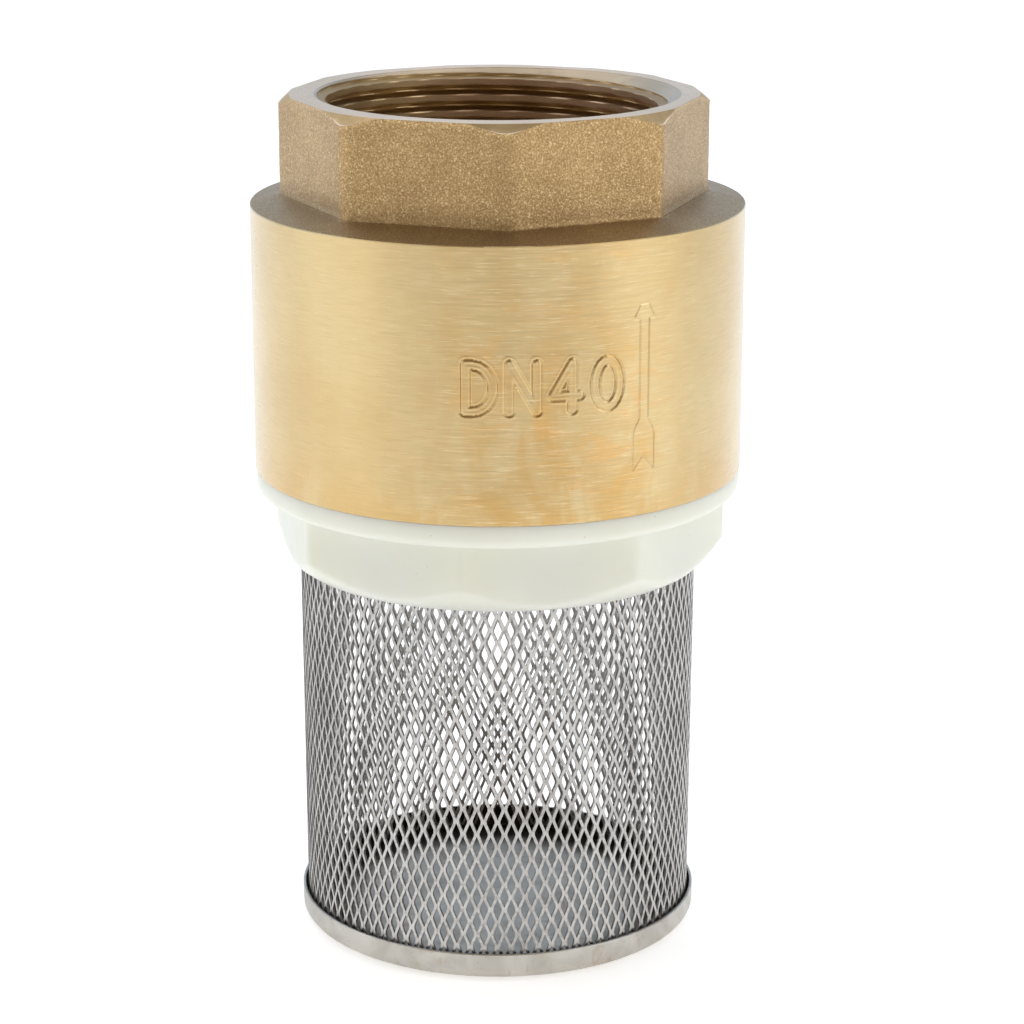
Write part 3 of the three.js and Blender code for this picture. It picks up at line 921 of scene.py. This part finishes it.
def inlet_collar(material):
    """The screwed collar: a round flange, an octagon to turn it by, and the strainer's pocket."""
    flange = radius_of("inlet_collar")
    flange_top = BARREL_FOOT - 0.04
    flange_foot = OUTLET - 55.1
    foot = bottom_of("inlet_collar")
    end_radius = 28.5
    angles = even_angles(400)
    octagon = radius_towards(angles, octagon_outline(COLLAR_APOTHEM, 8 * [COLLAR_CORNER], COLLAR_TWIST))
    rings = Rings()
    chamfer = octagon - end_radius
    for share in (0.0, 0.03, 0.35, 0.7, 0.95, 1.0):
        soften = 0.15 * math.sin(math.pi * share)
        rings.add(angles, end_radius + chamfer * share + soften, foot + chamfer * 1.05 * share - soften, 0)
    for share in (0.08, 0.3, 0.6, 0.9):
        start = foot + chamfer * 1.05
        rings.add(angles, octagon, start + (flange_foot - 0.5 - start) * share, 0)
    root = 0.35
    for bend in (0, 30, 60, 88):
        a = math.radians(bend)
        rings.add(angles, octagon + root * (1 - math.cos(a)), flange_foot - root + root * math.sin(a), 0)
    neck, under_seat = SOCKET - 0.4, bottom_of("seat_ring") - 0.25
    pocket, pocket_top = 28.1, 61.6
    outer = rounded(
        [
            (COLLAR_APOTHEM, flange_foot),
            (flange, flange_foot, 1.35),
            (flange, flange_top, 0.12),
            (neck, flange_top, 0.1),
            (neck, top_of("inlet_collar"), 0.4),
            (22.5, top_of("inlet_collar"), 0.3),
            (22.5, under_seat, 0.1),
            (19.6, under_seat, 0.3),
            (25.0, pocket_top, 0.4),
            (pocket, pocket_top, 0.3),
            (pocket, foot, 0.15),
            (end_radius, foot),
        ]
    )[1:-1]
    rings.outline(angles, outer)
    piece = rings.build("collar_moulding", [material], crease=40.0)
    return settle(piece, "housing", "nylon", "inlet_collar")


def seat_and_seals(brass, black, white):
    seat_bottom, seat_top = levels("seat_ring")
    seat = turned(
        "valve_seat",
        [
            (19.4, seat_bottom, 0.2),
            (22.4, seat_bottom, 0.2),
            (22.4, seat_top - 0.8, 0.15),
            (21.2, seat_top - 0.8, 0.2),
            (20.6, seat_top, 0.15),
            (19.4, seat_top, 0.4),
        ],
        brass,
        160,
    )
    settle(seat, "housing", "turned_brass", "seat_ring")
    ring_low, ring_high = levels("collar_o_ring")
    middle, radius = (ring_low + ring_high) / 2, (ring_high - ring_low) / 2
    centre = radius_of("collar_o_ring") - radius
    turns = np.radians(np.arange(0, 360, 24))
    circle = [(centre + radius * math.cos(a), middle + radius * math.sin(a)) for a in turns]
    settle(turned("collar_seal", circle, black, 160), "housing", "rubber", "collar_o_ring")
    bush_low, bush_high = levels("guide_bush")
    bush = turned(
        "stem_guide",
        [(4.1, bush_low, 0.4), (5.3, bush_low, 0.2), (5.3, bush_high, 0.2), (4.1, bush_high, 0.4)],
        white,
        72,
    )
    settle(bush, "housing", "acetal", "guide_bush")


# The strainer ------------------------------------------------

DIAMONDS = 92
DIAMOND_HEIGHT = 3.68
STRAND_WIDTH = 0.42
STRAND_SHEET = 0.34
STRAND_TILT = 4.0  # the strands are twisted by stretching, in degrees
SCREEN_HEAD, SCREEN_FOOT = 28.0, 27.65  # its outer radii: it narrows into the cup


def strainer_screen(sheet_skin, sheared_edge_with_painted_shade):
    """Expanded steel rolled into a tube: strands that zigzag up and meet side by side at bonds."""
    base, top = bottom_of("strainer_screen") + 0.15, top_of("strainer_screen")
    half_period = DIAMOND_HEIGHT / 2
    spacing = TURN / (2 * DIAMONDS)
    bond_share = 0.13
    stations = (0.0, bond_share, 0.5, 1 - bond_share)
    lateral = (1.0, 0.93, 0.0, -0.93)
    halves = int(math.floor((top - base) / half_period))
    heights, swings, tilts = [], [], []
    for half in range(halves):
        sign = 1 if half % 2 == 0 else -1
        for share, offset in zip(stations, lateral):
            heights.append(base + (half + share) * half_period)
            swings.append(sign * offset)
            tilts.append(1.0 if share == 0.5 else 0.55)
    heights.append(base + halves * half_period)
    swings.append(1.0 if halves % 2 == 0 else -1.0)
    tilts.append(0.55)
    heights, swings, tilts = map(np.array, (heights, swings, tilts))
    centre_radius = SCREEN_FOOT + (SCREEN_HEAD - SCREEN_FOOT) * (heights - base) / (top - base) - 0.24
    reach = math.radians(spacing) * centre_radius / 2
    swing = reach - STRAND_WIDTH * 0.40
    all_points, all_faces, slots = [], [], []
    strands = 2 * DIAMONDS
    per_strand = len(heights) * 4
    count = len(heights)
    quad_base = np.arange(count - 1)[:, None] * 4
    for strand in range(strands):
        phase = 1 if strand % 2 == 0 else -1
        jitter = grain([(strand * 1.7, z * 0.35, 3.1) for z in heights], 1.0, 5)
        lateral_mm = phase * swings * swing + 0.03 * jitter
        tilt = np.radians(STRAND_TILT * tilts + 5 * jitter)
        centre_angle = strand * spacing
        corners = []
        for u, v in ((-1, -1), (1, -1), (1, 1), (-1, 1)):
            across = u * STRAND_WIDTH / 2
            through = v * STRAND_SHEET / 2
            tangent = lateral_mm + across * np.cos(tilt) - through * np.sin(tilt)
            radial = centre_radius + across * np.sin(tilt) + through * np.cos(tilt)
            radial = radial - 0.015 * (1 + jitter)
            corners.append(on_circle(centre_angle + np.degrees(tangent / centre_radius), radial, heights))
        all_points.append(np.stack(corners, axis=1).reshape(-1, 3))
        start = strand * per_strand
        for k in range(4):
            after = (k + 1) % 4
            corner_shifts = (k, after, 4 + after, 4 + k)
            quads = np.concatenate([quad_base + shift for shift in corner_shifts], axis=1)
            all_faces += (quads + start).tolist()
            # The sides take the second finish, a darker copy of the steel that paints shade on them.
            slots += [k % 2] * len(quads)
        all_faces.append([start + 3, start + 2, start + 1, start])
        end = start + per_strand - 4
        all_faces.append([end, end + 1, end + 2, end + 3])
        slots += [1, 1]
    finishes = [sheet_skin, sheared_edge_with_painted_shade]
    points = np.concatenate(all_points)
    piece = make_object("expanded_screen", points, all_faces, finishes, slots, crease=30.0)
    return settle(piece, "housing", "stainless", "strainer_screen")


DIRT_AND_SHADE_START, DIRT_AND_SHADE_END = 20.5, 25.5  # dirt and painted shade lie in the cup's corner, thick past the second radius


def strainer_base(material, inside):
    """The drawn cup that closes the strainer, slightly dished and dented."""
    rim_top = top_of("strainer_base")
    outer = radius_of("strainer_base")
    sheet = 0.45
    middle = 0.2  # the underside's height on the axis
    outline = rounded(
        [
            (8.0, 0.18, 0),
            (outer - 4.5, 0.0, 2.0),
            (outer, 0.0, 1.5),
            (outer, rim_top, 0.16),
            (outer - sheet, rim_top, 0.16),
            (outer - sheet, sheet, 1.1),
            (outer - 4.5, sheet, 2.0),
            (8.0, 0.18 + sheet, 0),
        ],
        6,
    )
    angles = even_angles(240)
    rings = Rings()
    dense = densify(outline, 0.9)
    past_rim = False
    for r, z in dense:
        points = on_circle(angles, r, z)
        dent = grain(points, 6.0, 4)
        side = 0.05 * dent if z > 1.2 else 0.0
        lift = 0.09 * dent * min(1.0, max(0.0, (outer - 1.6 - r) / 3))
        past_rim = past_rim or (z > rim_top - 0.3 and r < outer - sheet + 0.05)
        rings.add(angles, r + side - 0.03, np.clip(z + lift, 0.0, None), 1 if past_rim else 0)
    piece = rings.build_solid("strainer_cup", [material, inside], middle, middle + sheet, crease=40.0)
    return settle(piece, "housing", "stainless", "strainer_base")


def densify(outline, longest):
    """Adds points so that no step along the outline is longer than that."""
    dense = []
    for (r0, z0), (r1, z1) in zip(outline[:-1], outline[1:]):
        count = max(1, math.ceil(math.hypot(r1 - r0, z1 - z0) / longest))
        dense += [(r0 + (r1 - r0) * i / count, z0 + (z1 - z0) * i / count) for i in range(count)]
    return dense + [outline[-1]]


def strainer_lock_ring(material):
    foot, top = levels("strainer_lock_ring")
    outer = radius_of("strainer_lock_ring")
    inner = 24.8
    piece = turned(
        "screen_lock_ring",
        [(inner, foot, 0.6), (outer, foot, 0.6), (outer, top, 0.2), (inner, top, 0.2)],
        material,
        160,
    )
    return settle(piece, "housing", "nylon", "strainer_lock_ring")


# The poppet and its spring -----------------------------------


def valve_stem(steel):
    foot, top = levels("valve_stem")
    shoulder = 82.0
    radius, tail = 4.0, 2.42
    outline = [(0, foot), (tail - 0.5, foot, 0.1)]
    pitch = 0.8
    z = foot + 0.5
    while z < shoulder - 4:
        outline += [(tail - 0.05, z), (tail - 0.42, z + pitch / 2)]
        z += pitch
    outline += [(tail, z, 0.05), (tail, shoulder, 0.1)]
    outline += [(radius, shoulder, 0.3), (radius, top, 1.0), (0, top)]
    piece = turned("poppet_stem", outline, steel, 64)
    return settle(piece, "poppet", "stainless", "valve_stem")


def poppet_discs(brass, black):
    bottom, top = levels("poppet_plate")
    outer = radius_of("poppet_plate")
    bore, boss, face = 2.5, 6.2, 79.3
    plate = turned(
        "poppet_disc",
        [
            (bore, bottom, 0.1),
            (outer, bottom, 0.25),
            (outer, face, 0.7),
            (13.0, face, 0.6),
            (12.2, face - 0.5, 0.6),
            (boss + 0.8, face - 0.5, 0.7),
            (boss, top, 0.5),
            (bore, top, 0.1),
        ],
        brass,
        160,
    )
    settle(plate, "poppet", "turned_brass", "poppet_plate")
    seal_low, seal_high = levels("disc_seal")
    seal = turned(
        "rubber_disc",
        [(8.9, seal_low, 0.1), (22.2, seal_low, 0.5), (22.2, seal_high, 0.3), (8.9, seal_high, 0.1)],
        black,
        160,
    )
    settle(seal, "poppet", "rubber", "disc_seal")
    low_z, high_z = levels("seal_retainer")
    seat_top = top_of("seat_ring")
    retainer = turned(
        "retaining_disc",
        [
            (bore, low_z, 0.1),
            (9.5, low_z, 0.3),
            (10.1, low_z + 0.35, 0.3),
            (15.6, low_z + 0.35, 0.3),
            (16.2, low_z, 0.3),
            (18.2, low_z, 0.6),
            (18.2, seat_top, 0.2),
            (8.7, seat_top, 0.1),
            (8.7, high_z, 0.1),
            (bore, high_z, 0.1),
        ],
        brass,
        160,
    )
    settle(retainer, "poppet", "turned_brass", "seal_retainer")


def lock_washer(steel):
    """A split spring washer: one flat turn whose ends are sprung apart."""
    low_z, high_z = levels("lock_washer")
    inner, outer, spread = 2.75, 4.55, 0.12
    section = rounded([(inner, 0, 0.12), (outer, 0, 0.12), (outer, 1, 0.12), (inner, 1, 0.12)], 2)
    steps = 60
    gap = 12.0  # between its ends, in degrees
    points = []
    for step in range(steps + 1):
        share = step / steps
        angle = gap / 2 + (TURN - gap) * share
        for r, t in section:
            z = low_z + spread * share + (high_z - low_z - spread) * t
            points.append(on_circle(angle, r, z).tolist())
    piece = make_object("spring_washer", points, swept_faces(steps + 1, len(section)), [steel])
    return settle(piece, "poppet", "stainless", "lock_washer")


def stem_nut(steel):
    """A hexagon nut, chamfered on both faces, with its thread's mouth countersunk."""
    low_z, high_z = levels("stem_nut")
    apothem = 4.0
    angles = even_angles(144)
    local = (angles % 60) - 30
    hexagon = apothem / np.cos(np.radians(local))
    trim = np.clip((hexagon - apothem * 1.02) * 0.55, 0, None)
    inner = np.minimum(hexagon, apothem * 1.02)
    bore, mouth = 2.47, 2.9
    rings = Rings()
    for radius, height in (
        (mouth, low_z),
        (inner - 0.05, low_z),
        (hexagon, low_z + trim + 0.04),
        (hexagon, high_z - trim - 0.04),
        (inner - 0.05, high_z),
        (mouth, high_z),
        (bore, high_z - 0.4),
        (bore, low_z + 0.4),
    ):
        rings.add(angles, radius, height)
    piece = rings.build("stem_nut_hexagon", [steel], crease=25.0)
    return settle(piece, "poppet", "stainless", "stem_nut")


def poppet_spring(steel):
    """The closing spring. In the valve it shortens towards the spider as the poppet lifts; here it is built
    at one length.
    """
    foot, head = levels("poppet_spring")
    wire, mean, turns, end_pitch = 1.2, 9.2, 5.5, 1.3
    low_z, high_z = foot + wire / 2, head - wire / 2
    open_turns = turns - 2
    open_pitch = (high_z - low_z - 2 * end_pitch) / open_turns
    steps = int(turns * 44)
    path = []
    for step in range(steps + 1):
        turn = turns * step / steps
        end_turns = min(turn, 1) + max(turn - turns + 1, 0)
        rise = end_pitch * end_turns + open_pitch * min(max(turn - 1, 0), open_turns)
        a = 2 * math.pi * turn
        path.append((mean * math.cos(a), mean * math.sin(a), low_z + rise))
    points, faces = tube_along(path, wire / 2, 12)
    piece = make_object("closing_spring", points, faces, [steel])
    settle(piece, "housing", "stainless", "poppet_spring")
    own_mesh(piece)
    return piece


# Floor, light and camera -------------------------------------

CAMERA_AZIMUTH = -2.9
CAMERA_DISTANCE = 416.6
CAMERA_RISE = 60.0  # above the outlet face
CAMERA_PITCH = 16.0
CAMERA_LENS = 107.7
CAMERA_SHIFT = 0.014


# The room as the valve reflects it: azimuth from the camera towards +X, brightness, warmth.
ROOM = (
    (-180, 0.60, -0.50),
    (-135, 0.78, -0.65),
    (-108, 0.56, -0.25),
    (-62, 0.52, 0.10),
    (-36, 0.24, 0.70),
    (-17, 0.35, 0.85),
    (0, 0.22, 1.00),
    (20, 0.36, 0.90),
    (42, 0.62, 0.35),
    (65, 0.76, -0.15),
    (88, 0.53, -0.25),
    (110, 0.10, -0.20),
    (140, 0.69, -0.65),
    (180, 0.60, -0.50),
)
ROOM_COLOUR = np.array((0.97, 0.985, 1.0))
WARM_COLOUR = np.array((1.0, 0.73, 0.42))
FLOOR_GLOW = 0.5


def studio():
    bpy.ops.mesh.primitive_circle_add(vertices=96, radius=8.0, fill_type="NGON", location=(0, 0, -0.0002))
    floor = bpy.context.object
    floor.name = "studio_floor"
    floor.data.materials.append(paper_floor())
    world = bpy.data.worlds.new("soft_studio")
    bpy.context.scene.world = world
    world.use_nodes = True
    tree = world.node_tree
    nodes = Nodes(tree)
    split = nodes.add("SeparateXYZ", {0: nodes.add("TexCoord").outputs["Generated"]})
    facing = nodes.math("MULTIPLY", split.outputs["Y"], -1.0)
    azimuth = nodes.math("ARCTAN2", split.outputs["X"], facing)
    share = nodes.add("MapRange", {0: azimuth, 1: -math.pi, 2: math.pi})
    ramp = nodes.add("ValToRGB", {0: share.outputs[0]})
    stops = ramp.color_ramp.elements
    while len(stops) < len(ROOM):
        stops.new(0.5)
    for stop, (angle, brightness, warmth) in zip(stops, ROOM):
        stop.position = angle / TURN + 0.5
        tint = ROOM_COLOUR + (WARM_COLOUR - ROOM_COLOUR) * warmth
        stop.color = (*(tint * brightness), 1)
    nodes.feed(tree.nodes["Background"], {"Color": ramp.outputs[0], "Strength": 1.0})
    area_light("left_softbox", (-0.70, -0.12, 0.42), 0.7, 0.7, 1.1)
    area_light("right_softbox", (0.64, -0.28, 0.40), 0.55, 0.7, 1.1)
    area_light("top_softbox", (0.0, 0.3, 1.05), 1.1, 1.1, 2.3)


def area_light(name, place, width, height, power):
    light = bpy.data.lights.new(name, "AREA")
    light.shape = "RECTANGLE"
    light.size, light.size_y = width, height
    light.energy = power
    lamp = bpy.data.objects.new(name, light)
    lamp.location = place
    target = Vector((0, 0, 0.06))
    lamp.rotation_euler = (target - Vector(place)).to_track_quat("-Z", "Y").to_euler()
    bpy.context.scene.collection.objects.link(lamp)


def camera():
    data = bpy.data.cameras.new("camera")
    data.lens = CAMERA_LENS
    data.sensor_width = 36.0
    data.shift_x = CAMERA_SHIFT
    data.clip_start, data.clip_end = 0.01, 50
    eye = bpy.data.objects.new("camera", data)
    x, y, _ = on_circle(CAMERA_AZIMUTH, CAMERA_DISTANCE, 0)
    eye.location = (x * MM, y * MM, (OUTLET + CAMERA_RISE) * MM)
    heading = Vector((-x, -y, 0)).normalized()
    pitch = math.radians(CAMERA_PITCH)
    aim = heading * math.cos(pitch) - Vector((0, 0, math.sin(pitch)))
    eye.rotation_euler = aim.to_track_quat("-Z", "Y").to_euler()
    bpy.context.scene.collection.objects.link(eye)
    bpy.context.scene.camera = eye


# Assembly ----------------------------------------------------

faced_brass = turned_brass(
    "faced_brass", (0.93, 0.745, 0.58), (0.87, 0.68, 0.50), (0.6, 0.42, 0.28), 0.3, 0.3, (1.0, 0.88, 0.77)
)
mouth_brass = turned_brass(
    "mouth_brass", (0.62, 0.47, 0.32), (0.53, 0.40, 0.26), (0.38, 0.27, 0.14), 0.42, 0.6
)
chamfer_brass = dull_brass("chamfer_brass", (0.68, 0.475, 0.25), (0.56, 0.385, 0.195))
inner_brass = turned_brass(
    "inner_brass", (0.82, 0.66, 0.38), (0.70, 0.52, 0.27), (0.5, 0.3, 0.12), 0.3, 0.5
)
sand_brass = cast_brass("sand_brass", (0.53, 0.35, 0.146), (0.445, 0.286, 0.113), NECK_FOOT)
white_nylon = nylon("white_nylon", (0.83, 0.83, 0.73), (0.795, 0.795, 0.68))
white_acetal = nylon("white_acetal", (0.86, 0.85, 0.81), (0.80, 0.79, 0.73))
black_rubber = rubber()
bright_steel = drawn_steel("bright_steel", (0.62, 0.62, 0.63), (0.5, 0.5, 0.5), 0.22)
spring_steel = drawn_steel("spring_steel", (0.5, 0.49, 0.48), (0.38, 0.37, 0.36), 0.3)
cup_steel = stainless_sheet(
    "cup_steel", (0.57, 0.545, 0.50), (0.46, 0.435, 0.395), (0.40, 0.29, 0.18), 0.32
)
cup_inside = stainless_sheet(
    "cup_inside", (0.72, 0.69, 0.65), (0.56, 0.535, 0.50), (0.45, 0.33, 0.24), 0.32, DIRT_AND_SHADE_START, DIRT_AND_SHADE_END
)
strand_skin = stainless_strand(
    "strand_skin", (0.59, 0.57, 0.545), (0.47, 0.45, 0.43), (0.25, 0.235, 0.22), 0.36
)
# The strands' sides: the darker colour is painted shade, the higher roughness is the sheared cut.
strand_edge = stainless_strand(
    "strand_edge", (0.46, 0.445, 0.43), (0.35, 0.34, 0.33), (0.16, 0.155, 0.15), 0.5
)
barrel_skin = barrel_brass((0.69, 0.525, 0.26), (0.645, 0.465, 0.21), (0.63, 0.38, 0.115))

valve_body(sand_brass, faced_brass, thread_brass(THREAD_CREST), barrel_skin, mouth_brass, chamfer_brass)
spider(sand_brass)
inlet_collar(white_nylon)
seat_and_seals(inner_brass, black_rubber, white_acetal)
strainer_screen(strand_skin, strand_edge)
strainer_base(cup_steel, cup_inside)
strainer_lock_ring(white_nylon)
valve_stem(bright_steel)
poppet_discs(inner_brass, black_rubber)
lock_washer(bright_steel)
stem_nut(bright_steel)
poppet_spring(spring_steel)

studio()
camera()
bpy.context.scene.view_settings.view_transform = "Standard"
